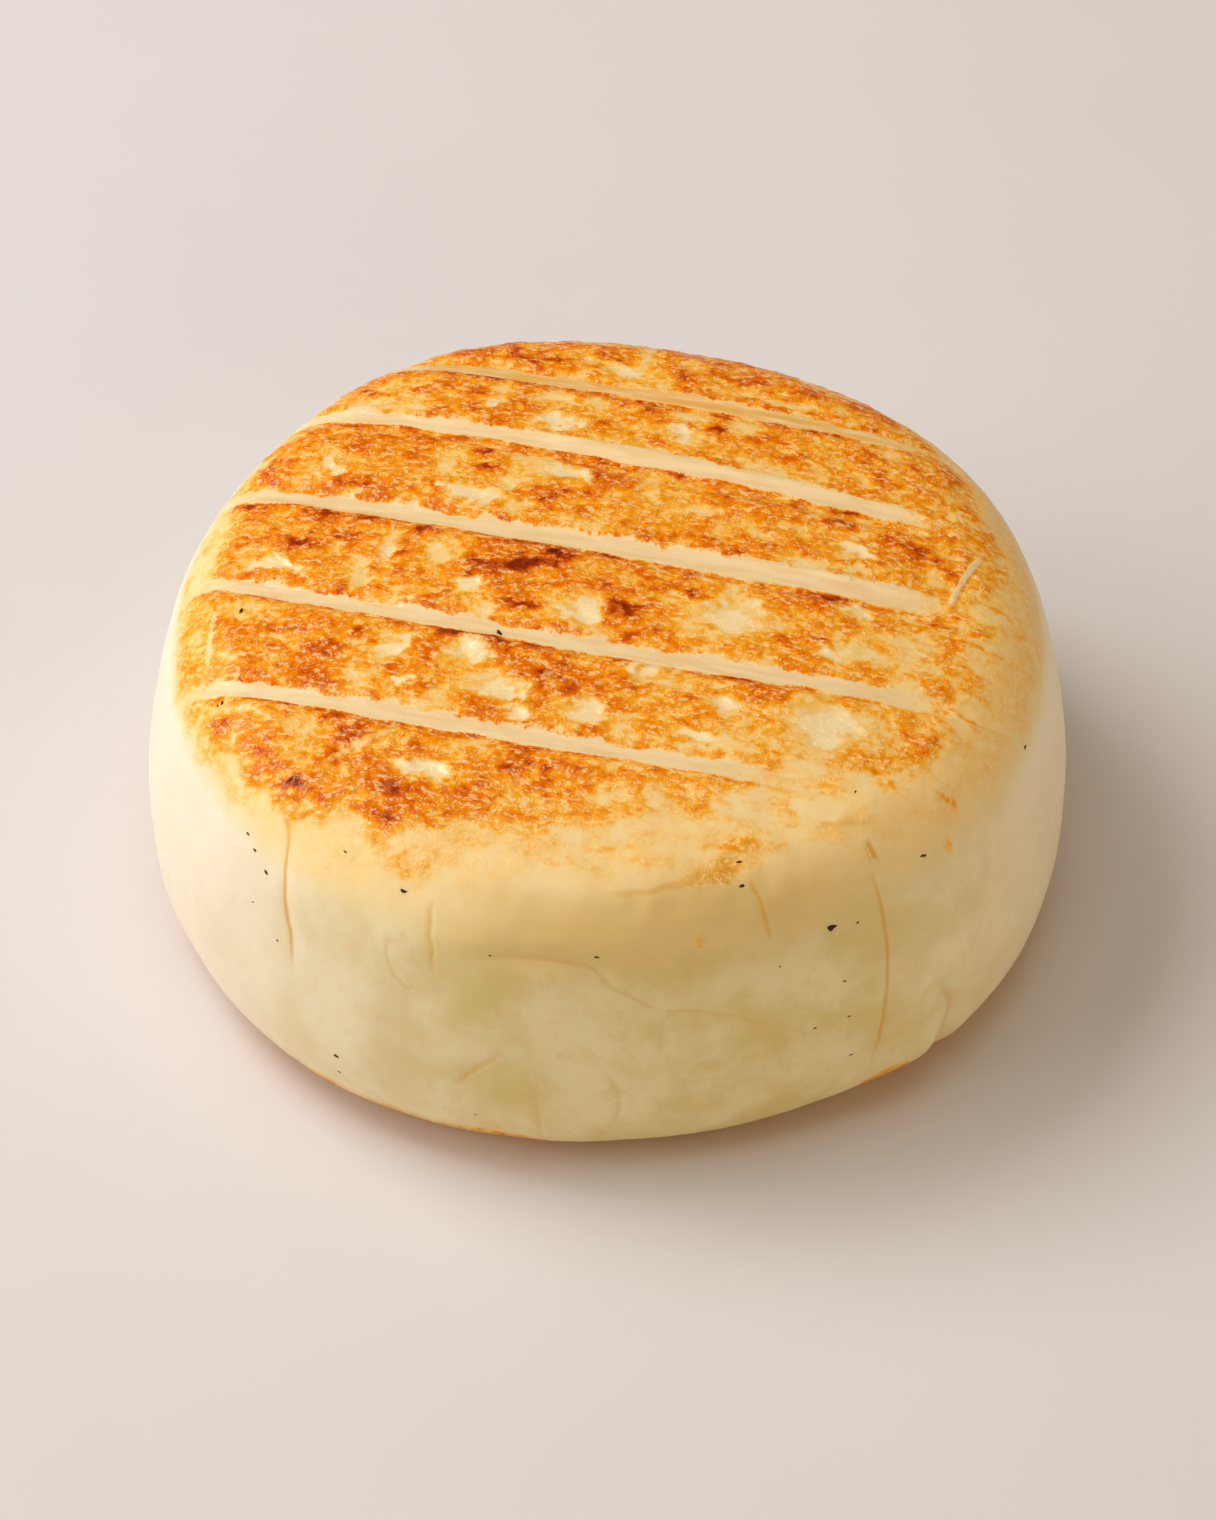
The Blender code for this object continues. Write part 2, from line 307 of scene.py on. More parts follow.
@dataclass(frozen=True)
class Fleck:
    """A burnt fleck: x and y on the top, or direction and height on the side, and its size."""

    x: float
    y: float
    size: float
    on_side: bool


BARS = (
    Bar(-20.4, -13.3, -2.3, -36.0, 22.0, 2.2),
    Bar(-6.7, -13.6, -2.9, -40.0, 34.0, 2.2),
    Bar(6.3, -13.7, -1.1, -41.0, 33.0, 2.7),
    Bar(18.8, -15.9, 0.7, -40.0, 30.0, 2.1),
    Bar(29.4, -13.9, 0.9, -30.0, 27.0, 1.9, tan=0.9),
)

NICKS = (
    Nick(((38.2, 7.2), (35.7, 2.4), (33.5, -3.2)), 0.7, 0.8),
    Nick(((-38.6, -0.6), (-39.4, -5.4), (-39.5, -12.2)), 0.6, 0.5),
    Nick(((-28.0, -25.0), (-24.6, -22.4), (-20.5, -20.5)), 0.8, 0.35),
)

# Seared patches, band by band from the front of the cheese to its back, left to right: x, y,
# length, breadth and tone, and the turn of those that don't follow the bars
SEARED = [Patch(*row) for row in (
    # In front of the first bar
    (-33.5, -20.5, 8, 6, ORANGE), (-33.2, -21.8, 3.5, 2.5, BROWN), (-26, -20.3, 6, 3, BROWN),
    (-29.5, -26.6, 7, 4.2, BROWN, -35), (-30.3, -26.3, 1.8, 1, CHARRED),
    (-28.3, -28.2, 2.6, 1, DARK, -40), (-21, -28.8, 11, 5.5, BROWN, -28),
    (-20.6, -30.8, 3.6, 2, DARK, -25), (-21, -27.9, 2.6, 1.6, DARK), (-16.6, -32.3, 4.6, 1.6, DARK, -30),
    (-18.6, -22.9, 5, 2.4, BROWN), (-13.6, -23.2, 4, 0.9, BROWN, -35), (-8.8, -25.6, 4.4, 3, BROWN),
    (-7.4, -24.9, 1.5, 1, CHARRED), (-5.8, -26.6, 0.8, 2.4, DARK), (-6.6, -28.6, 2.2, 1.8, BROWN),
    (-12.5, -31.4, 5.5, 1.5, ORANGE), (-3, -25.5, 2.6, 1.6, ORANGE), (2, -27, 4.5, 1.1, ORANGE),
    (8.5, -28, 6, 1.8, GOLDEN), (-17.6, -36.2, 5, 2.4, GOLDEN, -20), (12.6, -36.8, 4.6, 2, ORANGE, 20),
    (16.4, -35.2, 5, 1.4, ORANGE, 20), (21.5, -33.6, 9, 1.6, GOLDEN, 20),
    # Between the first bar and the second
    (-30.5, -10.5, 12, 8.5, ORANGE), (-27.5, -8.8, 6, 3.2, BROWN), (-29, -12.6, 8.5, 3, BROWN),
    (-25.2, -7.7, 3, 1.2, DARK, 15), (-23, -8.7, 1.5, 1.1, DARK), (-22.5, -4.4, 10, 2.4, BROWN),
    (-12.5, -8, 12, 2, DARK), (-10.5, -10.1, 2.2, 1.5, CHARRED), (-19, -11.4, 4.6, 3.4, BROWN),
    (-17.3, -15.2, 1.7, 1.3, CHARRED), (-19.2, -16.2, 3.4, 1.4, BROWN), (-7, -12.4, 12, 4.6, BROWN),
    (-6.6, -13, 2.2, 1.4, DARK), (-4, -15, 2.4, 2, DARK), (-0.9, -13, 3.2, 1.6, DARK),
    (-6, -17.8, 2.4, 5, BROWN, 0), (-12.5, -17.8, 6.5, 2.2, ORANGE), (3.6, -15.6, 3.8, 0.9, DARK, -8),
    (7, -16.5, 3, 1.5, DARK), (12, -14.2, 12, 1.6, ORANGE), (15.6, -16.6, 4.2, 2, DARK),
    (4, -17.6, 6.5, 1.6, ORANGE), (6.5, -19.8, 6.5, 1.3, ORANGE), (-1.8, -21, 4, 1, BROWN, -8),
    (17, -23.4, 6, 2, GOLDEN), (27, -18.8, 9, 7, GOLDEN), (29.5, -20.5, 4.5, 4, ORANGE),
    (26, -24, 8, 4.5, GOLDEN), (35, -16.6, 6, 0.6, ORANGE, -12), (39.4, -18.4, 4.6, 0.6, ORANGE, -38),
    # Between the second bar and the third: the darkest band
    (-29.5, 7.8, 13, 6.6, BROWN), (-25, 9.4, 3.4, 1.6, DARK), (-28.4, 9.9, 3, 1.5, DARK),
    (-31.6, 7.2, 3.6, 1.8, DARK), (-28, 3.6, 3, 4, ORANGE), (-17.2, 7.8, 4.2, 1.7, DARK),
    (-10, 2.6, 20, 7.4, BROWN), (-8.4, 2, 6.4, 2.4, DARK), (-8.2, 1.4, 2.8, 1.4, CHARRED),
    (-5.4, 3.4, 2.8, 1.2, CHARRED), (-16, 0.8, 1.8, 1.1, DARK), (-19.5, 1, 5, 4, ORANGE),
    (-15.2, -2.7, 2.6, 1.5, DARK), (-9.2, -4.1, 4.2, 2.6, DARK), (-6.6, -5.8, 2.8, 1.6, ORANGE),
    (3.4, -1, 10, 6, BROWN), (2, -4.4, 4, 2, DARK), (5.4, -6.2, 3.4, 4, BROWN),
    (8.2, -2, 2.6, 1.3, CHARRED), (8, 1.3, 3, 2.2, DARK), (3, -8.3, 5.5, 1.3, BROWN),
    (19, -2.2, 7, 5, BROWN), (21.4, -2.6, 1.6, 3.6, DARK, 0), (18.2, -6.4, 3.8, 2.2, BROWN),
    (21.2, -8.3, 1.9, 1.3, DARK), (17.5, -10.4, 7, 3.6, ORANGE), (27.2, -5.8, 2.6, 1.7, BROWN),
    (33.2, -4.6, 2.6, 1.8, DARK), (33, -7, 6.5, 1.4, ORANGE), (31.6, -11.6, 9, 4, ORANGE),
    (37.5, -7.8, 5, 0.7, ORANGE, -10),
    # Between the third bar and the fourth
    (-29, 19.5, 14, 8, ORANGE), (-26.6, 21.4, 5.4, 2.2, BROWN), (-26.6, 16.2, 8, 2.4, BROWN),
    (-34.4, 18.4, 3.6, 3.4, ORANGE), (-18.7, 22.3, 1.8, 2.6, BROWN, 0), (-12.7, 20.4, 0.9, 3.2, DARK, 0),
    (-12.4, 17.2, 1.3, 0.9, CHARRED), (-13.5, 16.9, 0.9, 0.7, CHARRED), (-11.8, 16.3, 5.4, 1.1, BROWN),
    (-17, 14.2, 1.7, 1.1, DARK), (-5, 18.9, 2.7, 2.2, DARK), (0.7, 15.4, 4.4, 5.4, BROWN),
    (1.3, 14.3, 2, 2, DARK), (-4.6, 12.2, 7, 3.2, BROWN), (-12, 11.2, 4.5, 1.3, ORANGE),
    (8.5, 10.8, 16, 6, ORANGE), (12, 3.9, 11, 1.2, BROWN), (18.3, 11.6, 6, 2.4, ORANGE),
    (24.8, 9.4, 4.4, 2.8, BROWN), (32.2, 5.2, 8, 5, BROWN), (30.1, 6.3, 2.6, 1.4, DARK),
    (22, 5.4, 4.2, 2, ORANGE), (24.8, 2.8, 3.6, 1.5, BROWN),
    # Between the fourth bar and the fifth
    (-22, 30.4, 9, 3.4, ORANGE), (-16.2, 31.7, 4, 1.5, DARK), (-11, 33.2, 6.5, 2.2, BROWN),
    (-17, 28.4, 6, 2.4, ORANGE), (-9, 28, 3.6, 2.6, ORANGE), (-1, 30.4, 3.4, 2.4, BROWN),
    (4.2, 27.6, 5, 4.4, BROWN), (11.3, 25.3, 2.4, 6.4, DARK, 0), (3.2, 23, 3.4, 2, BROWN),
    (18.6, 25.2, 8.5, 2, BROWN), (8.6, 19.6, 5, 2.8, ORANGE), (15.5, 21.2, 7, 4.4, ORANGE),
    (26.6, 20.2, 5.4, 3.8, BROWN), (27.6, 16.6, 3, 3, DARK), (22.5, 17.4, 5, 3, ORANGE),
    (31, 19, 4.5, 3, ORANGE),
    # Behind the fifth bar
    (-10, 37.9, 10, 3.4, DARK), (-5.4, 35.8, 2.4, 1.4, DARK), (7.4, 33, 4, 3.4, DARK),
    (15.6, 33.2, 7, 2.8, DARK), (21.6, 31.6, 5.5, 2.6, BROWN), (8, 37, 6, 3, ORANGE),
    (26, 29, 4.5, 2, ORANGE),
)]

# Pale spots: pools where the melted cheese lies bare and shiny, and duller pale places
BARE = [Patch(*row) for row in (
    (-17.6, -25.4, 7, 2.2, POOL), (-24.4, -22.6, 2.6, 1.2, PALE, 35), (-21, -9.7, 4.6, 2.8, POOL, 10),
    (-14, -10.3, 4.8, 4.4, POOL), (-23.8, -13.3, 4.6, 1.8, PALE), (-20.4, -14.2, 2.6, 1.4, POOL),
    (-10.2, -15.6, 6.6, 2.6, POOL), (-8.6, -18.7, 2.8, 2.2, POOL), (-2, -18.3, 3.8, 4, POOL, 20),
    (3.4, -13.2, 3.8, 2.6, POOL), (11, -15.1, 2, 1.2, PALE), (11.3, -17.6, 3.6, 2.8, POOL),
    (2.3, -19.2, 4.2, 1.2, PALE), (8.8, -21.8, 5.4, 2, POOL), (20.8, -20, 8.4, 6.2, POOL),
    (-21.2, 7.2, 1.6, 3.6, PALE, -30), (-22.2, 4.7, 2.6, 2.6, POOL, -30), (-24.6, 1.4, 1.5, 4, PALE, -25),
    (-33, 3.2, 7, 2.4, POOL), (-17, 3.9, 2.6, 2, PALE), (-13.4, -1, 3, 2.8, POOL),
    (-2.8, -5.2, 5.4, 4.6, POOL), (11.8, -5.2, 6.4, 5.8, POOL), (13, -1.2, 2.2, 3.6, PALE, 0),
    (24.8, -3.8, 4.8, 3.2, POOL), (22.2, -10.4, 4.6, 2, POOL), (29.2, -8.8, 2.4, 5, PALE, 0),
    (6, -2.3, 1.4, 1, PALE), (-28.6, 18.9, 2.8, 2.8, POOL), (-16.6, 18.4, 3.2, 2.8, PALE),
    (-13.6, 13, 7, 3.4, POOL), (-8.8, 10.9, 3, 1.3, PALE), (-4.4, 16.6, 7, 3.2, POOL),
    (-8.4, 18.4, 3.6, 3.4, PALE), (4.4, 16, 2.2, 2.2, PALE), (4.6, 12.2, 2, 1.8, PALE),
    (10.6, 10.4, 2.6, 1.8, PALE), (11.2, 7.6, 2, 2.6, PALE, 0), (24.8, 5.2, 4.6, 2, POOL),
    (22.8, 2.6, 9, 1.6, PALE), (31.2, 8.9, 3.4, 1.4, PALE), (-11.6, 28.3, 1.9, 1.9, POOL),
    (-5.6, 24.9, 5.6, 2.8, POOL), (8.4, 27, 2.8, 2.6, PALE), (14.3, 25.8, 3, 4.2, PALE, 0),
    (7.6, 22.7, 5.2, 3.2, POOL), (2.6, 20.9, 9, 1.6, PALE), (16.6, 17.6, 5, 2.4, PALE),
    (2.6, 34.2, 5.2, 3, POOL), (17.5, 29.2, 10, 1.6, PALE),
)]

# Toasted spots on the shoulder and the side: direction, height, length, breadth and tone
STAINS = [
    Patch(direction * ARC, height, length, breadth, tone, turn=0.0, end=1.4)
    for direction, height, length, breadth, tone in (
        (243.5, 31.4, 6, 1.5, GOLDEN), (236, 31.8, 8, 1.6, PALE), (250, 31.8, 8, 1.4, PALE),
        (285, 31.7, 7, 1.2, GOLDEN), (290, 32.1, 5, 1.2, GOLDEN), (303, 32.4, 9, 1.2, PALE),
        (282, 27.8, 1.6, 1.2, ORANGE), (317.2, 27.6, 1.6, 1.6, ORANGE), (320.6, 30.1, 1, 2, GOLDEN),
        (183, 31.4, 9, 3.6, GOLDEN), (192, 31, 10, 4, GOLDEN), (200, 30.8, 8, 3.4, GOLDEN),
        (207, 31, 5, 2, PALE),
    )
]

# Route, width, depth and gold
CREASES = (
    Crease((
        (220.5, 32.6), (222.2, 31.4), (225.1, 30.3), (226.9, 28), (228.2, 24.3), (229.8, 21.1),
        (230.7, 16.7),
    ), 0.4, 0.03, 0.9),
    Crease(((247.2, 30.3), (247.9, 28.3), (248.8, 26), (249.2, 24)), 0.4, 0.06, 0.5),
    Crease(((244.6, 26.3), (243.1, 26), (243.6, 23.7), (246.1, 21.7), (246.9, 22.9)), 0.4, 0.03, 0.3),
    Crease((
        (249.3, 25.7), (258.1, 26.8), (266.5, 26.5), (269.1, 25.5), (270.2, 24.3), (272.8, 23.2),
        (275.9, 21.4), (280.1, 20.8), (286.7, 19), (290.2, 16.4),
    ), 0.4, 0.06, 0.35),
    Crease(((276.4, 20.8), (276.2, 16.3)), 0.5, 0.12, 0.2),
    Crease(((258.3, 16.8), (253.9, 13.2), (252.9, 11.3)), 0.5, 0.1, 0.5),
    Crease(((261.5, 11.9), (262, 6), (262.4, 2)), 0.5, 0.12, 0.3),
    Crease(((269.2, 15), (270.9, 12.6), (271.2, 8.8), (270.2, 6.6)), 0.5, 0.1, 0.3),
    Crease(((289.4, 31.1), (290, 29.6), (290.4, 26.3)), 0.4, 0.03, 0.7),
    Crease((
        (305.7, 30.1), (305.4, 26.1), (305.4, 20.9), (304.9, 16.9), (304, 11.5), (302.6, 7.1),
    ), 0.4, 0.03, 0.8),
    Crease(((307, 31.2), (306.8, 29.6)), 0.6, 0.06, 1),
    Crease(((311.5, 15), (315.1, 9.4), (314.4, 6.5), (314.6, 2)), 0.6, 0.18, 0.4),
    Crease((
        (266, 31.2), (276, 31.4), (284, 31.8), (291, 32.5), (299, 32.6), (306, 32.2), (311, 31.4),
    ), 0.3, 0, 0.7),
)

# x or direction, y or height, and size
FLECKS_ON_TOP = (
    (-36.5, -3, 0.75), (-10.7, -7.6, 0.85), (-37.7, -14.9, 0.55), (23.6, -27.9, 0.35), (30.2, -31.9, 0.4),
    (41, -16.2, 0.55),
)
FLECKS_ON_SIDE = (
    (219.6, 27.9, 0.45), (221.7, 27.2, 0.4), (224.4, 26.1, 0.6), (233.8, 31, 0.4), (243.3, 30.1, 0.6),
    (255.7, 26.8, 0.3), (268.6, 27.3, 0.4), (288.8, 31.9, 0.6), (288.2, 30.8, 0.5), (298.3, 26, 0.95),
    (301.9, 25.6, 0.4), (313.1, 28.3, 0.45), (223, 21.9, 0.3), (227.9, 19.9, 0.3), (237.3, 9.6, 0.55),
    (237.4, 7.3, 0.35), (294.9, 15.6, 0.3), (299.4, 15.5, 0.35), (299.1, 20, 0.35), (299.8, 10, 0.4),
    (291, 23.9, 0.25), (254.6, 7.3, 0.3), (201.5, 31.8, 0.35),
)
FLECKS = [Fleck(*row, on_side=False) for row in FLECKS_ON_TOP]
FLECKS += [Fleck(*row, on_side=True) for row in FLECKS_ON_SIDE]


# ---- Shader nodes in few words ----


class Value:
    """The output of a shader node. Arithmetic with it adds the nodes that work the result out."""

    def __init__(self, socket: bpy.types.NodeSocket) -> None:
        """Keeps the output and its tree."""
        self.socket = socket
        self.tree = socket.id_data

    def math(self, operation: str, *others: object) -> "Value":
        """Adds a Math node with this value first."""
        return add_node(self.tree, "Math", dict(enumerate((self, *others))), operation=operation)

    __add__ = partialmethod(math, "ADD")
    __sub__ = partialmethod(math, "SUBTRACT")
    __rsub__ = partialmethod(math, "MULTIPLY_ADD", -1.0)
    __mul__ = partialmethod(math, "MULTIPLY")
    __abs__ = partialmethod(math, "ABSOLUTE")
    at_least = partialmethod(math, "MAXIMUM")

    def spread(self, reach: float) -> "Value":
        """Turns a noise around 0.5 into one around 0 that reaches about `reach` each way."""
        return (self - 0.5) * (2.0 * reach)

    def rise(self, low: float, high: float) -> "Value":
        """Rises smoothly from 0 below low to 1 above high."""
        inputs = {"Value": self, "From Min": low, "From Max": high}
        return add_node(self.tree, "MapRange", inputs, interpolation_type="SMOOTHSTEP")

    def fall(self, low: float, high: float) -> "Value":
        """Falls smoothly from 1 below low to 0 above high."""
        return 1.0 - self.rise(low, high)

    def mix(self, first: object, second: object) -> "Value":
        """Mixes two colours, with this value as the share of the second."""
        inputs = {"Factor": self, "A": first, "B": second}
        return add_node(self.tree, "Mix", inputs, "Result", data_type="RGBA")

    def coloured(self, stops: tuple[tuple[float, Colour], ...]) -> "Value":
        """Adds a colour ramp.

        Args:
            stops: Each place on the ramp and its screen colour.

        Returns:
            The colour that this value picks.
        """
        last = stops[-1][0]
        ramp_colour = add_node(self.tree, "ValToRGB", {"Fac": self.math("DIVIDE", last)})
        elements = ramp_colour.socket.node.color_ramp.elements
        while len(elements) < len(stops):
            elements.new(0.5)
        for element, (place, colour) in zip(elements, stops):
            element.position = place / last
            element.color = light(colour)
        return ramp_colour


def add_node(
    tree: bpy.types.NodeTree, kind: str, inputs: dict, output: int | str = 0, **settings: object
) -> Value:
    """Adds a shader node.

    Args:
        tree: The material's tree.
        kind: The node's type.
        inputs: What goes into it.
        output: Which output is wanted.
        **settings: The node's own settings.

    Returns:
        The wanted output.
    """
    node = tree.nodes.new("ShaderNode" + kind)
    for name, setting in settings.items():
        setattr(node, name, setting)
    for name, source in inputs.items():
        feed(node.inputs[name], source)
    return Value(node.outputs[output])


def feed(target: bpy.types.NodeSocket, source: object) -> None:
    """Links or sets a node's input.

    Args:
        target: The input.
        source: A value, a number, a vector or a screen colour.
    """
    if isinstance(source, Value):
        source.tree.links.new(source.socket, target)
    else:
        target.default_value = light(source) if target.type == "RGBA" else source


class Nodes:
    """A new material and the nodes behind its shader."""

    def __init__(self, name: str) -> None:
        """Makes the material.

        Args:
            name: Its name.
        """
        self.material = bpy.data.materials.new(name)
        self.material.use_nodes = True
        self.tree = self.material.node_tree
        self.place = add_node(self.tree, "TexCoord", {}, "Object")

    def shade(self, looks: dict[str, object]) -> bpy.types.Material:
        """Feeds the shader.

        Args:
            looks: What goes into each of its inputs.

        Returns:
            The material.
        """
        for name, look in looks.items():
            feed(self.tree.nodes["Principled BSDF"].inputs[name], look)
        return self.material

    def attribute(self, name: str) -> Value:
        """One of the mesh's own values."""
        return add_node(self.tree, "Attribute", {}, "Fac", attribute_name=name)

    def noise(self, size: float, detail: float, roughness: float, stretch: float = 0.0) -> Value:
        """Adds a noise.

        Args:
            size: The size of one swell, in millimetres.
            detail: How many finer layers it has.
            roughness: How strong they are.
            stretch: How many times longer it gets along the bars of the grill, or 0 for not at all.

        Returns:
            A value around 0.5.
        """
        place = self.lengthwise(stretch) if stretch else self.place
        inputs = {"Vector": place, "Scale": 1.0 / (size * MM), "Detail": detail, "Roughness": roughness}
        return add_node(self.tree, "TexNoise", inputs)

    def lengthwise(self, stretch: float) -> Value:
        """Stretches the piece's coordinates along the bars of the grill.

        Args:
            stretch: How many times longer the pattern gets.

        Returns:
            The stretched coordinates.
        """
        angle = -math.radians(GRILL_TURN)
        along = add_node(self.tree, "Mapping", {"Vector": self.place, "Rotation": (0.0, 0.0, angle)})
        return add_node(self.tree, "Mapping", {"Vector": along, "Scale": (1.0 / stretch, 1.0, 1.0)})


# ---- Finishes ----


class CrustNodes(Nodes):
    """The nodes of the cheese, with the noises and the shares that all of its looks follow."""

    def __init__(self, name: str) -> None:
        """Adds the noises and works out the shares.

        Args:
            name: The material's name.
        """
        super().__init__(name)
        self.crumb = self.noise(1.7, 4.0, 0.58)
        self.streak = self.noise(1.1, 3.0, 0.55, stretch=2.2)
        self.fine = self.noise(0.4, 2.0, 0.5)
        self.bubble = self.bubbles()
        self.burst = self.bubble.rise(0.16, 0.34) * self.bubble.fall(0.34, 0.54)
        self.pool = (self.attribute("pool") + self.crumb.spread(0.9)).rise(0.10, 1.10)
        torn = 0.75 - self.attribute("bar_front") * 0.5
        ragged = (self.crumb.spread(1.2) + self.fine.spread(0.3)) * torn
        inside = (self.attribute("bar_off") + ragged).fall(0.66, 1.16)
        self.pressed = inside * self.attribute("bar_reach")
        self.heat = self.heat_share()
        between_creases = self.attribute("crease_off") - 0.5
        self.gap = abs(self.attribute("crease_gap")).at_least(between_creases)

    def bubbles(self) -> Value:
        """Adds round cells, unevenly shifted.

        Returns:
            About 0 at the middle of a cell and 1 between the cells.
        """
        shift = add_node(self.tree, "TexNoise", {"Vector": self.place, "Scale": 1.0 / (1.6 * MM)}, "Color")
        inputs = {0: shift, 1: (0.9 * MM,) * 3, 2: self.place}
        strayed = add_node(self.tree, "VectorMath", inputs, operation="MULTIPLY_ADD")
        return add_node(self.tree, "TexVoronoi", {"Vector": strayed, "Scale": 1.0 / (0.75 * MM)})

    def heat_share(self) -> Value:
        """Works out how far each spot is seared.

        Returns:
            The heat, 0 for bare cheese and 1 for char.
        """
        sear, off, front = (self.attribute(name) for name in ("sear", "bar_off", "bar_front"))
        unrest = self.crumb.spread(0.30) + self.streak.spread(0.30) + self.fine.spread(0.16)
        unrest = unrest + (self.bubble - 0.45) * 0.20
        heat = sear + unrest * sear.rise(0.04, 0.34)
        strip = off.rise(0.95, 1.10) * off.fall(1.2, 2.3) * front * self.streak.rise(0.3, 0.6)
        heat = heat + strip * self.attribute("bar_reach") * 0.20
        heat = heat * (1.0 - self.pool * 0.86) * (1.0 - self.pressed)
        line = abs(off - 1.04).fall(0.03, 0.17) * self.streak.rise(0.36, 0.56) * front
        return heat.at_least(line * self.attribute("bar_line") * 0.72)


@dataclass(frozen=True)
class CheeseFinish:
    """Waxy cheese that browns with heat, with its colours as seen on a screen."""

    skin: Colour = (235, 217, 170)
    skin_shade: Colour = (221, 195, 128)
    # Painted shade: darker golden skin under the front shoulder
    painted_shade_skin: Colour = (214, 178, 104)
    # Painted light: paler skin where the lamps light the sides
    painted_lit_skin: Colour = (242, 224, 200)
    pressed: Colour = (238, 208, 158)
    pressed_shade: Colour = (232, 195, 136)
    tan: Colour = (228, 168, 76)
    melted: Colour = (247, 217, 162)
    # Painted glints: white specks painted into the pools' colour in place of highlights
    painted_glint: Colour = (255, 240, 214)
    fat: Colour = (222, 162, 54)
    # Pale blister skin along thin strokes, partly a painted sheen in place of the crust's glints
    blister: Colour = (255, 220, 148)
    fringe: Colour = (240, 180, 66)
    browning: tuple[tuple[float, Colour], ...] = (
        (0.00, (240, 212, 156)), (0.10, (241, 205, 138)), (0.18, (241, 192, 110)), (0.27, (243, 173, 60)),
        (0.38, (240, 152, 24)), (0.52, (234, 130, 8)), (0.64, (222, 107, 0)), (0.76, (202, 83, 0)),
        (0.88, (166, 56, 2)), (1.00, (138, 42, 5)), (1.20, (92, 26, 8)),
    )

    def material(self) -> bpy.types.Material:
        """Builds the finish.

        Returns:
            A material that reads the values that the crust and the painted light and shade left on the mesh.
        """
        build = CrustNodes("halloumi")
        crisp = build.heat.rise(0.12, 0.42)
        oily = build.fine.rise(0.48, 0.62) * 0.8 + 0.03
        relief = self.relief(build)
        return build.shade({
            "Base Color": self.colour(build),
            "Roughness": build.crumb.spread(0.20) + 0.42 - build.pool * 0.14,
            "Specular IOR Level": 0.40 - crisp * 0.39,
            "Coat Weight": (crisp * oily).at_least(build.pool * 0.9).at_least(build.pressed * 0.3),
            "Coat Roughness": 0.11,
            "Coat IOR": 1.42,
            "Normal": relief,
            "Coat Normal": relief,
            "Subsurface Weight": build.heat.fall(0.05, 0.35) * 0.37 + 0.03,
            "Subsurface Radius": (1.0, 0.5, 0.18),
            "Subsurface Scale": 3.0 * MM,
            "IOR": 1.42,
        })

    def colour(self, build: CrustNodes) -> Value:
        """Colours the cheese.

        Args:
            build: The nodes of the cheese.

        Returns:
            Its colour.
        """
        heat, pool, fine = build.heat, build.pool, build.fine
        crust = heat.coloured(self.browning)
        crust = (pool.rise(0.04, 0.25) * heat.fall(0.30, 0.60) * 0.35).mix(crust, self.fringe)
        crust = (pool.rise(0.30, 0.85) * 0.92).mix(crust, self.melted)
        # Painted glints: white specks painted into the pools
        crust = (fine.rise(0.60, 0.70) * pool.rise(0.3, 0.8) * 0.6).mix(crust, self.painted_glint)
        lines = build.noise(0.7, 3.0, 0.55, stretch=9.0)
        mark = lines.rise(0.35, 0.7).mix(self.pressed, self.pressed_shade)
        mark = (build.attribute("bar_tan") * lines.rise(0.2, 0.6)).mix(mark, self.tan)
        crust = (build.pressed * heat.fall(0.2, 0.5)).mix(crust, mark)
        skin = build.noise(9.0, 5.0, 0.6).rise(0.36, 0.66).mix(self.skin, self.skin_shade)
        skin = (build.noise(2.6, 3.0, 0.6).rise(0.52, 0.70) * 0.45).mix(skin, self.skin_shade)
        # Painted light: the skin painted paler where the lamps light its left side and, a little, its right
        skin = (build.attribute("dry") * 0.85).mix(skin, self.painted_lit_skin)
        body = (build.attribute("side") * build.attribute("sear").fall(0.0, 0.34)).mix(crust, skin)
        # Painted shade: the skin painted darker and more golden under the front shoulder
        body = (build.attribute("warm") * 0.7).mix(body, self.painted_shade_skin)
        body = (build.gap.fall(0.15, 0.9) * build.attribute("gold") * 0.85).mix(body, self.fat)
        # Pale blister strokes over the crust: partly real blister skin, partly painted sheen
        fibres = build.noise(0.55, 2.0, 0.6, stretch=1.8)
        blister_and_sheen_strokes = (build.burst * fine.rise(0.50, 0.64)).at_least(fibres.rise(0.53, 0.66) * 0.9)
        return (blister_and_sheen_strokes * heat.rise(0.06, 0.30) * heat.fall(0.70, 0.92) * 0.6).mix(body, self.blister)

    def relief(self, build: CrustNodes) -> Value:
        """Gives the crust its fine bubbles and the skin its folds.

        Args:
            build: The nodes of the cheese.

        Returns:
            The bent normal.
        """
        inputs = {"Vector": build.place, "Scale": 1.0 / (1.15 * MM), "Offset": 1.0, "Gain": 1.6}
        wrinkle = add_node(build.tree, "TexNoise", inputs, noise_type="RIDGED_MULTIFRACTAL")
        rind = wrinkle * 0.07 + build.fine * 0.10 + build.burst * 0.06
        height = rind * (1.0 - build.pool) + build.crumb * 0.8
        amount = (build.heat.rise(0.04, 0.36) * 0.55 + 0.08).at_least(build.pool * 0.40)
        crust = add_node(build.tree, "Bump", {"Height": height, "Strength": amount, "Distance": 0.7 * MM})
        fold = build.gap.fall(0.0, 1.6) * build.attribute("fold") * -1.0
        return add_node(build.tree, "Bump", {"Height": fold, "Distance": 1.0 * MM, "Normal": crust})


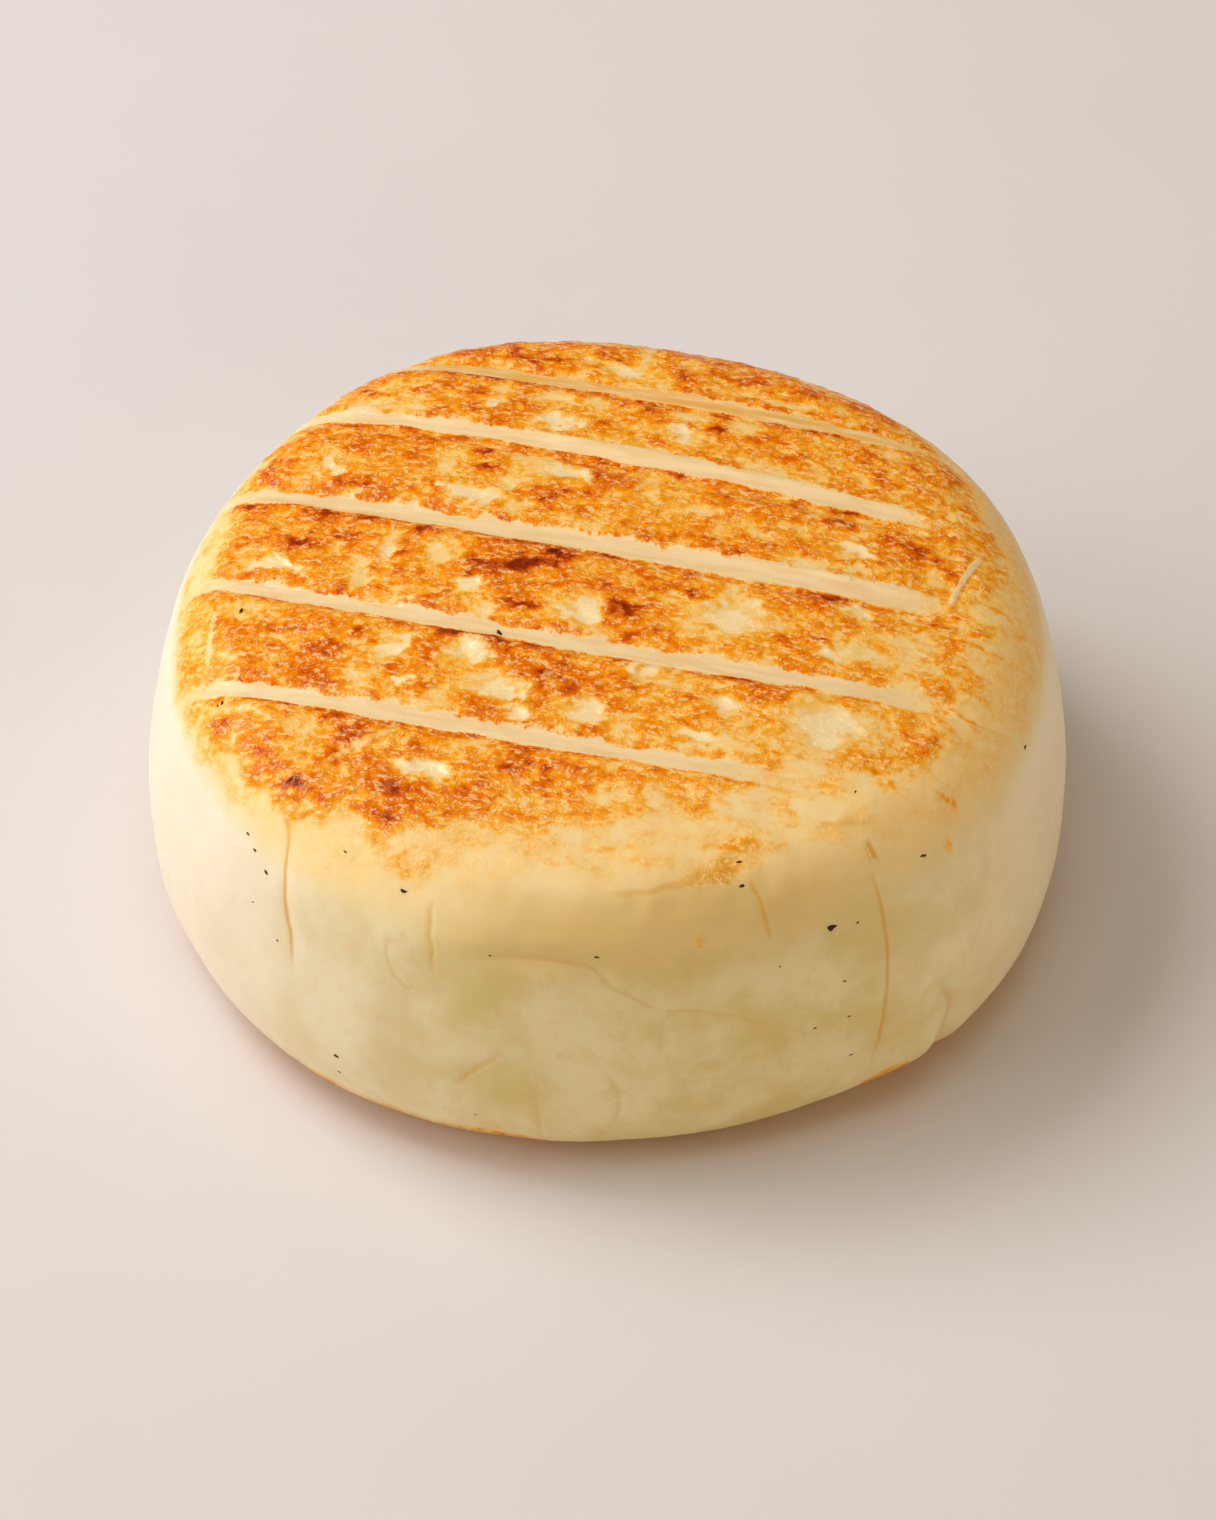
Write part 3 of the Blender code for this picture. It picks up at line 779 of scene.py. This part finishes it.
@dataclass(frozen=True)
class CharFinish:
    """Burnt black-brown flecks."""

    burnt: Colour = (52, 26, 12)
    ember: Colour = (70, 40, 22)

    def material(self) -> bpy.types.Material:
        """Builds the finish.

        Returns:
            A dull dark material with a slight grain.
        """
        build = Nodes("char")
        grain = build.noise(0.25, 3.0, 0.6)
        return build.shade({
            "Base Color": grain.mix(self.burnt, self.ember),
            "Roughness": grain.spread(0.3) + 0.6,
            "Specular IOR Level": 0.15,
        })


@dataclass(frozen=True)
class StoneFinish:
    """A plain pale floor."""

    stone: Colour = (221, 212, 208)
    shade: Colour = (216, 207, 203)

    def material(self) -> bpy.types.Material:
        """Builds the finish.

        Returns:
            A matt pale material with hardly any mottling.
        """
        build = Nodes("floor")
        colour = build.noise(40.0, 4.0, 0.6).mix(self.stone, self.shade)
        return build.shade({"Base Color": colour, "Roughness": 0.75})


# ---- The cheese ----


class Part(Enum):
    """What is selected in edit mode."""

    EDGE = "edges"
    FACE = "faces"


def select_parts(piece: bpy.types.Object, kind: Part, wanted: Callable[[object], bool]) -> None:
    """Selects parts of a mesh in edit mode.

    Args:
        piece: The piece, which is in edit mode.
        kind: What to select.
        wanted: Says which of them.
    """
    bpy.ops.mesh.select_mode(type=kind.name)
    bpy.ops.mesh.select_all(action="DESELECT")
    mesh = bmesh.from_edit_mesh(piece.data)
    for part in getattr(mesh, kind.value):
        if wanted(part):
            part.select_set(True)
    mesh.select_flush_mode()
    bmesh.update_edit_mesh(piece.data)


def only(piece: bpy.types.Object) -> None:
    """Selects one piece alone and makes it active.

    Args:
        piece: The piece.
    """
    bpy.ops.object.select_all(action="DESELECT")
    piece.select_set(True)
    bpy.context.view_layer.objects.active = piece


def apply_modifier(piece: bpy.types.Object, kind: str, **settings: object) -> None:
    """Adds a modifier and applies it.

    Args:
        piece: The piece.
        kind: The modifier's type.
        **settings: Its settings.
    """
    modifier = piece.modifiers.new(kind.lower(), kind)
    for name, value in settings.items():
        setattr(modifier, name, value)
    only(piece)
    bpy.ops.object.modifier_apply(modifier=modifier.name)


@dataclass
class Wheel:
    """The fine surface of the cheese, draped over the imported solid."""

    segments: int = 200
    shoulder: float = 9.5 * MM
    shoulder_steps: int = 6
    foot: float = 6.5 * MM
    foot_steps: int = 3
    wall_cuts: int = 4
    fine_cuts: int = 3
    reach: float = 5.0 * MM
    finish: CheeseFinish = field(default_factory=CheeseFinish)

    def build(self) -> bpy.types.Object:
        """Makes the whole piece.

        Returns:
            The cheese, dressed and riding on its body.
        """
        piece = self.rough_wheel()
        self.refine(piece)
        self.drape(piece)
        Crust().dress(piece)
        piece.data.materials.append(self.finish.material())
        only(piece)
        bpy.ops.object.shade_smooth()
        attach(piece, BODY)
        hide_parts(NODE)
        return piece

    def rough_wheel(self) -> bpy.types.Object:
        """Makes a plain wheel with both rims rounded.

        Returns:
            The wheel, with one large face over each end.
        """
        low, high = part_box(NODE)
        bpy.ops.object.select_all(action="DESELECT")
        bpy.ops.mesh.primitive_cylinder_add(
            vertices=self.segments,
            radius=(high.x - low.x + high.y - low.y) / 4,
            depth=high.z - low.z,
            end_fill_type="NGON",
            location=(0.0, 0.0, (low.z + high.z) / 2),
            rotation=(0.0, 0.0, math.radians(GRILL_TURN + 45.0)),
        )
        piece = bpy.context.active_object
        piece.name = "halloumi_crust"
        piece.data.name = "halloumi_crust"
        bpy.ops.object.transform_apply(location=True, rotation=True, scale=True)
        bpy.ops.object.mode_set(mode="EDIT")
        rims = ((high.z, self.shoulder, self.shoulder_steps), (low.z, self.foot, self.foot_steps))
        for rim, width, steps in rims:
            select_parts(piece, Part.EDGE, lambda edge: all(abs(v.co.z - rim) < 0.1 * MM for v in edge.verts))
            bpy.ops.mesh.bevel(offset=width, segments=steps, profile=0.5, affect="EDGES")
        select_parts(piece, Part.EDGE, lambda edge: abs(edge.verts[0].co.z - edge.verts[1].co.z) > 10 * MM)
        bpy.ops.mesh.subdivide(number_cuts=self.wall_cuts)
        bpy.ops.object.mode_set(mode="OBJECT")
        return piece

    def refine(self, piece: bpy.types.Object) -> None:
        """Lays a grid that runs with the bars over each end, and cuts all but the underside finely.

        Args:
            piece: The rough wheel.
        """
        bpy.ops.object.mode_set(mode="EDIT")
        for above in (True, False):
            select_parts(piece, Part.FACE, lambda face: len(face.verts) > 4 and (face.normal.z > 0) == above)
            bpy.ops.mesh.delete(type="ONLY_FACE")
            select_parts(piece, Part.EDGE, lambda edge: edge.is_boundary)
            bpy.ops.mesh.fill_grid(span=self.segments // 4)
        bpy.ops.mesh.select_all(action="SELECT")
        bpy.ops.mesh.normals_make_consistent(inside=False)
        select_parts(piece, Part.FACE, lambda face: face.normal.z > -0.98)
        bpy.ops.mesh.subdivide(number_cuts=self.fine_cuts)
        bpy.ops.object.mode_set(mode="OBJECT")

    def drape(self, piece: bpy.types.Object) -> None:
        """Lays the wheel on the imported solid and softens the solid's flat faces.

        Args:
            piece: The wheel.
        """
        form = bpy.data.objects.new("form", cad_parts[NODE].data.copy())
        bpy.context.scene.collection.objects.link(form)
        only(form)
        bpy.ops.object.mode_set(mode="EDIT")
        bpy.ops.mesh.select_all(action="SELECT")
        bpy.ops.mesh.remove_doubles(threshold=0.001 * MM)
        bpy.ops.object.mode_set(mode="OBJECT")
        apply_modifier(
            piece, "SHRINKWRAP", target=form, wrap_method="PROJECT", project_limit=self.reach,
            use_negative_direction=True, use_positive_direction=True,
        )
        apply_modifier(piece, "SMOOTH", factor=0.5, iterations=6)
        bpy.data.objects.remove(form)


class Skin:
    """The points of the cheese's surface in millimetres, their normals and their directions."""

    def __init__(self, mesh: bpy.types.Mesh) -> None:
        """Reads the points.

        Args:
            mesh: The mesh of the cheese.
        """
        self.places, self.normals = np.empty((2, len(mesh.vertices), 3))
        mesh.vertices.foreach_get("co", self.places.ravel())
        mesh.vertices.foreach_get("normal", self.normals.ravel())
        self.places /= MM
        self.flat = self.places[:, :2]
        self.height = self.places[:, 2]
        self.up = self.normals[:, 2]
        self.turn = np.degrees(np.arctan2(self.places[:, 1], self.places[:, 0])) % 360.0
        self.top = ramp(0.30, 0.66, self.up)

    def swell(self, size: float | tuple[float, float, float], seed: float) -> Array:
        """Smooth random values for the points."""
        return swell(self.places, size, seed)

    def unrolled(self) -> Array:
        """The distance round the side from +X and the height of each point, in millimetres."""
        return np.stack([self.turn * ARC, self.height], axis=1)


@dataclass
class Crust:
    """What heat and cloth did to the surface, and the light and shade painted on its skin: relief, and the
    values that its colours follow.
    """

    # Direction from the axis, how far out the crust reaches there, and the golden haze beyond it
    rim: tuple[tuple[float, float, float], ...] = (
        (0, 40.5, 0.18), (20, 41, 0.17), (45, 43, 0.16), (80, 45, 0.18), (110, 45.5, 0.18),
        (140, 43, 0.18), (165, 40.5, 0.18), (185, 41, 0.19), (200, 42.5, 0.22), (213, 43, 0.16),
        (222, 42.5, 0.11), (235, 39.5, 0.13), (248, 35, 0.17), (265, 33, 0.16), (285, 33.5, 0.15),
        (300, 36, 0.12), (315, 39, 0.12), (340, 40, 0.17),
    )
    even_heat: float = 0.42
    front_heat_loss: float = 0.25
    mottling: float = 0.50
    # The relief, in millimetres
    crisp_raised: float = 0.10
    blister_raised: float = 0.13
    crinkle_raised: float = 0.06
    mark_raised: float = 0.26
    pool_sunk: float = 0.14
    pool_rim: float = 0.05
    side_dents: float = 0.16
    side_ripples: float = 0.04

    def dress(self, piece: bpy.types.Object) -> None:
        """Works out each value for each point, keeps it as an attribute and moves the points.

        Args:
            piece: The draped wheel.
        """
        mesh = piece.data
        skin = Skin(mesh)
        sear, pool = self.browning(skin)
        off, strength, burnt, tan = self.marks(skin)
        gap, fold, gold = self.creases(skin)
        foot = self.foot_browning(skin)
        pressed = fade(0.70, 1.30, np.abs(off)) * strength
        moved = skin.places + skin.normals * self.lift(skin, sear, pool, pressed)[:, None]
        moved[:, 2] = np.where(skin.height < 0.05, skin.height, np.maximum(moved[:, 2], 0.0))
        mesh.vertices.foreach_set("co", (moved * MM).ravel())
        mesh.update()
        side = fade(0.34, 0.80, skin.up) * fade(0.02, 0.2, foot)
        # Painted light on the lit sides of the skin, and painted shade under its front shoulder
        dry, warm = self.skin_tones(skin)
        values = {
            "sear": np.maximum(sear, foot),
            "pool": pool,
            "bar_off": np.abs(off),
            "bar_front": (off < 0).astype(float),
            "bar_reach": strength * skin.top,
            "bar_line": burnt * skin.top,
            "bar_tan": tan,
            "crease_gap": gap,
            "crease_off": np.abs(gap),
            "fold": fold,
            "gold": gold,
            "side": side,
            "dry": dry * side,
            "warm": warm,
        }
        for name, value in values.items():
            mesh.attributes.new(name, "FLOAT", "POINT").data.foreach_set("value", value.astype(np.float32))

    def browning(self, skin: Skin) -> tuple[Array, Array]:
        """Sears the top and the stains of the shoulder.

        Args:
            skin: The points.

        Returns:
            The heat of each point, from 0 to about 1, and how fully it lies in a bare pool.
        """
        strays = [1.1 * skin.swell(2.6, seed) + 0.75 * skin.swell(0.95, seed + 9.0) for seed in (3.1, 47.7)]
        strayed = skin.flat + np.stack(strays, axis=1)
        along, across = turned(strayed[:, 0], strayed[:, 1], GRILL_TURN)
        grill = np.stack([along, across * 1.7, skin.height], axis=1)
        mottle = 0.9 * swell(grill, 3.6, 21.0) + 0.5 * swell(grill, 1.5, 31.0)
        front_right = ramp(8.0, 40.0, 0.62 * skin.flat[:, 0] - 0.78 * skin.flat[:, 1])
        heat = self.even_heat - self.front_heat_loss * front_right
        for patch in SEARED:
            heat = heat + patch.share(strayed) * np.maximum(patch.tone.value - heat, 0.0)
        heat = heat + self.mottling * mottle * (0.3 + heat)
        pool = np.zeros(len(heat))
        for patch in BARE:
            if patch.tone is Tone.POOL:
                pool = np.maximum(pool, patch.share(strayed))
            else:
                heat = heat + patch.share(strayed) * np.minimum(0.12 + 0.2 * mottle - heat, 0.0)
        turns, reaches, hazes = zip(*self.rim)
        edge = np.interp(skin.turn, turns, reaches, period=360.0) + 1.4 * skin.swell(4.0, 61.0)
        reach = np.hypot(skin.flat[:, 0], skin.flat[:, 1])
        uneven = 0.8 - 0.52 * ramp(24.0, 38.0, skin.flat[:, 0])
        haze = np.interp(skin.turn, turns, hazes, period=360.0) * (1.0 + uneven * mottle)
        haze = haze * fade(edge + 2.0, edge + 9.0, reach)
        heat = np.maximum(heat * fade(edge - 1.8, edge + 1.8, reach), haze) * skin.top
        spot = skin.unrolled() + np.stack([1.2 * skin.swell(2.2, 71.0), 0.5 * skin.swell(1.4, 75.0)], axis=1)
        for stain in STAINS:
            heat = heat + stain.share(spot) * np.maximum(stain.tone.value * (1.0 + 0.5 * mottle) - heat, 0.0)
        return heat, pool * skin.top

    def marks(self, skin: Skin) -> Array:
        """Finds the nearest bar or nick of each point.

        Args:
            skin: The points.

        Returns:
            The four rows of its mark.
        """
        nearest = np.zeros((4, len(skin.flat)))
        nearest[0] = 4.0
        for row in (*BARS, *NICKS):
            mark = row.mark(skin.flat)
            nearest = np.where(np.abs(mark[0]) < np.abs(nearest[0]), mark, nearest)
        return nearest

    def skin_tones(self, skin: Skin) -> tuple[Array, Array]:
        """Paints the skin paler where the lamps light it, on the left and a little on the right, and paints
        it darker and more golden under the front shoulder, where its shade falls.

        Args:
            skin: The points.

        Returns:
            How far each point is painted paler as lit, and how far it is painted darker and more golden as
            shaded.
        """
        strayed = skin.turn + 8.0 * skin.swell(12.0, 171.0)
        # Paler where the lamps light the left side and, less, the right: painted light
        left = ramp(110.0, 175.0, skin.turn) * fade(205.0, 262.0, strayed)
        right = ramp(295.0, 352.0, strayed) + fade(20.0, 60.0, skin.turn)
        # Darker under the front shoulder, where its shade falls: painted shade
        height = skin.height + 1.5 * skin.swell(9.0, 181.0)
        warm = plateau(244.0, 264.0, 290.0, 312.0, skin.turn) * plateau(22.0, 29.5, 30.0, 32.5, height)
        return np.maximum(left, 0.9 * right), warm

    def foot_browning(self, skin: Skin) -> Array:
        """Browns the underside, whose colour just shows along the foot.

        Args:
            skin: The points.

        Returns:
            The heat there, 0 elsewhere.
        """
        near = plateau(214.0, 226.0, 258.0, 268.0, skin.turn) + plateau(299.0, 303.0, 308.0, 312.0, skin.turn)
        low = fade(1.4 + 2.0 * near, 2.8 + 2.8 * near, skin.height + 0.8 * skin.swell(6.0, 131.0))
        mottle = skin.swell(3.0, 141.0) + 0.6 * skin.swell(1.3, 151.0)
        return np.maximum(fade(-0.95, -0.45, skin.up), low * 0.95) * np.clip(0.30 + 0.16 * mottle, 0.1, 0.9)

    def creases(self, skin: Skin) -> tuple[Array, Array, Array]:
        """Draws the fine folds of the side.

        Args:
            skin: The points.

        Returns:
            The distance of each point from the nearest fold in its widths, negative on its right, how
            deep that fold is there, and how yellow it shows.
        """
        spot = skin.unrolled() + 0.15 * np.stack([skin.swell(1.5, 161.0), skin.swell(1.5, 165.0)], axis=1)
        nearest = np.full(len(spot), 4.0)
        depth, gold = np.zeros(len(spot)), np.zeros(len(spot))
        for crease in CREASES:
            route = crease.drawn()
            low, high = route.min(axis=0) - 2.0, route.max(axis=0) + 2.0
            near = np.flatnonzero(np.all((spot > low) & (spot < high), axis=1) & (skin.up < 0.985))
            gap, along = distance_to_route(spot[near], route)
            gap = gap / crease.width
            share = plateau(0.0, 0.2, 0.8, 1.0, along) * fade(2.5, 3.5, np.abs(gap))
            share = share * fade(0.93, 0.98, skin.up[near])
            closer = np.abs(gap) < np.abs(nearest[near])
            near, gap, share = near[closer], gap[closer], share[closer]
            nearest[near] = gap
            depth[near] = crease.depth * share
            gold[near] = crease.gold * share
        return nearest, depth, gold

    def lift(self, skin: Skin, sear: Array, pool: Array, pressed: Array) -> Array:
        """Works out the relief.

        Args:
            skin: The points.
            sear: How far each is seared.
            pool: How fully it lies in a pool.
            pressed: How fully it lies in a bar's mark.

        Returns:
            How far each point is raised, in millimetres.
        """
        blister = self.blister_raised * (0.5 + skin.swell(0.95, 81.0))
        crisp = ramp(0.15, 0.6, sear) * (self.crisp_raised + blister)
        crinkle = self.crinkle_raised * skin.swell(2.1, 91.0) * (1.0 - pool)
        bare = self.pool_rim * 4.0 * pool * (1.0 - pool) - self.pool_sunk * ramp(0.3, 1.0, pool)
        raised = (crisp + crinkle + bare) * (1.0 - pressed) + self.mark_raised * pressed
        dents = self.side_dents * skin.swell((8.0, 8.0, 13.0), 101.0)
        return raised * skin.top + (dents + self.side_ripples * skin.swell(2.4, 105.0)) * (1.0 - skin.top)


@dataclass
class Flecks:
    """All the burnt flecks, as one piece."""

    length: float = 1.1
    breadth: float = 0.55
    thickness: float = 0.30
    finish: CharFinish = field(default_factory=CharFinish)

    def build(self, cheese: bpy.types.Object) -> bpy.types.Object:
        """Makes the flecks and sinks each a little into the cheese.

        Args:
            cheese: The finished cheese.

        Returns:
            The flecks, dressed and riding on their body.
        """
        surface = BVHTree.FromObject(cheese, bpy.context.evaluated_depsgraph_get())
        flakes = [self.flake(fleck, i, surface) for i, fleck in enumerate(FLECKS)]
        bpy.ops.object.select_all(action="DESELECT")
        for flake in flakes:
            flake.select_set(True)
        bpy.context.view_layer.objects.active = flakes[0]
        bpy.ops.object.join()
        piece = bpy.context.active_object
        piece.name = "char_flecks"
        piece.data.name = "char_flecks"
        bpy.ops.object.shade_smooth()
        piece.data.materials.append(self.finish.material())
        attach(piece, BODY)
        return piece

    def flake(self, fleck: Fleck, number: int, surface: BVHTree) -> bpy.types.Object:
        """Makes one uneven flake and lays it on the surface.

        Args:
            fleck: Where it lies and its size.
            number: Its number, which picks its form.
            surface: The cheese.

        Returns:
            The flake, with its place in its mesh.
        """
        if fleck.on_side:
            out = Vector((math.cos(math.radians(fleck.x)), math.sin(math.radians(fleck.x)), 0.0))
            start = out * 70 * MM + Vector((0, 0, fleck.y * MM))
        else:
            out = Vector((0, 0, 1))
            start = Vector((fleck.x * MM, fleck.y * MM, 60 * MM))
        place, normal, _, _ = surface.ray_cast(start, -out)
        bpy.ops.object.select_all(action="DESELECT")
        bpy.ops.mesh.primitive_ico_sphere_add(subdivisions=2, radius=fleck.size * MM / 2)
        flake = bpy.context.active_object
        turn = normal.to_track_quat("Z", "Y")
        for vert in flake.data.vertices:
            x, y, z = vert.co
            bulge = 0.9 + 0.9 * noise.noise(vert.co / (0.6 * fleck.size * MM) + Vector((number * 7.3, 0, 0)))
            vert.co = place + turn @ Vector((x * self.length, y * self.breadth, z * self.thickness)) * bulge
        return flake


# ---- The studio ----


@dataclass(frozen=True)
class SoftLight:
    """A square light one metre away that faces the cheese, with its direction in degrees."""

    name: str
    azimuth: float
    elevation: float
    size: float
    watts: float
    colour: tuple[float, float, float]

    def hang(self) -> None:
        """Hangs the light."""
        data = bpy.data.lights.new(self.name, "AREA")
        data.size = self.size
        data.energy = self.watts
        data.color = self.colour
        lamp = bpy.data.objects.new(self.name, data)
        bpy.context.scene.collection.objects.link(lamp)
        turn, rise = math.radians(self.azimuth), math.radians(self.elevation)
        level = math.cos(rise)
        lamp.location = (level * math.cos(turn), level * math.sin(turn), math.sin(rise))
        lamp.rotation_euler = lamp.location.to_track_quat("Z", "Y").to_euler()


@dataclass
class Studio:
    """The pale floor, the soft lights and the camera."""

    elevation: float = 44.0
    distance: float = 446.5 * MM
    aim_height: float = 18.8 * MM
    lens: float = 103.4
    sensor: float = 36.0
    shift_y: float = -0.043
    floor_size: float = 6.0
    glow: tuple[float, float, float, float] = (1.0, 0.76, 0.42, 1.0)
    glow_strength: float = 0.2
    floor: StoneFinish = field(default_factory=StoneFinish)
    lights: tuple[SoftLight, ...] = (
        SoftLight("window", 184.0, 27.0, 0.9, 6.9, (0.87, 0.94, 1.0)),
        SoftLight("window_behind", 150.0, 50.0, 0.5, 5.9, (0.92, 0.96, 1.0)),
        SoftLight("overhead", 180.0, 88.0, 0.6, 1.85, (0.92, 0.94, 1.0)),
        SoftLight("far_right", 5.0, 10.0, 0.6, 1.3, (1.0, 0.95, 0.85)),
        SoftLight("near_right", 300.0, 14.0, 0.6, 2.3, (1.0, 0.9, 0.62)),
    )

    def build(self) -> None:
        """Sets everything up."""
        self.add_camera()
        self.add_floor()
        self.add_lights()
        bpy.context.scene.view_settings.view_transform = "Standard"

    def add_camera(self) -> None:
        """Puts the camera in front of the cheese, looking down at it."""
        data = bpy.data.cameras.new("camera")
        data.sensor_fit = "VERTICAL"
        data.sensor_height = self.sensor
        data.lens = self.lens
        data.shift_y = self.shift_y
        camera = bpy.data.objects.new("camera", data)
        bpy.context.scene.collection.objects.link(camera)
        angle = math.radians(self.elevation)
        back = Vector((0.0, -math.cos(angle), math.sin(angle)))
        camera.location = Vector((0.0, 0.0, self.aim_height)) + back * self.distance
        camera.rotation_euler = (math.pi / 2 - angle, 0.0, 0.0)
        bpy.context.scene.camera = camera

    def add_floor(self) -> None:
        """Lays the floor under the cheese."""
        bpy.ops.object.select_all(action="DESELECT")
        bpy.ops.mesh.primitive_plane_add(size=self.floor_size, location=(0.0, 0.0, 0.0))
        floor = bpy.context.active_object
        floor.name = "floor"
        floor.data.materials.append(self.floor.material())

    def add_lights(self) -> None:
        """Hangs the lights and fills the shade with a weak warm glow."""
        for lamp in self.lights:
            lamp.hang()
        world = bpy.data.worlds.new("room")
        bpy.context.scene.world = world
        world.use_nodes = True
        background = world.node_tree.nodes["Background"]
        background.inputs["Color"].default_value = self.glow
        background.inputs["Strength"].default_value = self.glow_strength


def main() -> None:
    """Builds the cheese, its flecks and the studio, and logs the face counts of the cheese and the flecks."""
    logging.basicConfig(level=logging.INFO, format="%(name)s: %(message)s")
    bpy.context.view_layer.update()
    cheese = Wheel().build()
    log.info("%s: %d faces", cheese.name, len(cheese.data.polygons))
    flecks = Flecks().build(cheese)
    log.info("%s: %d faces", flecks.name, len(flecks.data.polygons))
    Studio().build()
    log.info("studio: ready")


if __name__ == "__main__":
    main()
